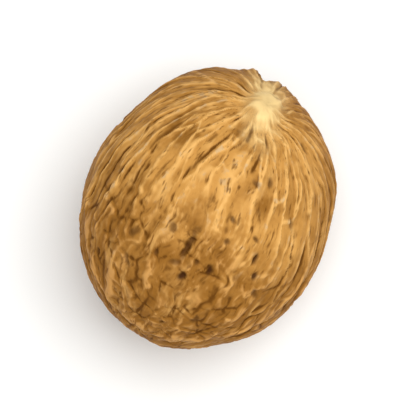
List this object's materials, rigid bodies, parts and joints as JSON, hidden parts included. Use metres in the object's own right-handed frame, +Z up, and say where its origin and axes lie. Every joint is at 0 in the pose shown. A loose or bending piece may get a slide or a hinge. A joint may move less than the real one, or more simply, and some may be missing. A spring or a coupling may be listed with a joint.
{
  "type": "whole nutmeg",
  "caption": "Whole dried nutmeg kernel: an egg-shaped seed with low wavy ribs from a pale raised scar at one end to a dimple at the other.",
  "frame": {"origin": "middle of the footprint's box, on the surface that the nutmeg lies on", "axes": "+X along the kernel towards the hilum, the pale scar where the seed was attached; +Y to its left; +Z up"},
  "size_m": [0.0248, 0.021, 0.0191],
  "materials": {
    "dried_kernel": "dry wrinkled seed kernel, matt to faintly waxy"
  },
  "bodies": {
    "root": {"kernel": "dried_kernel"}
  },
  "joints": []
}
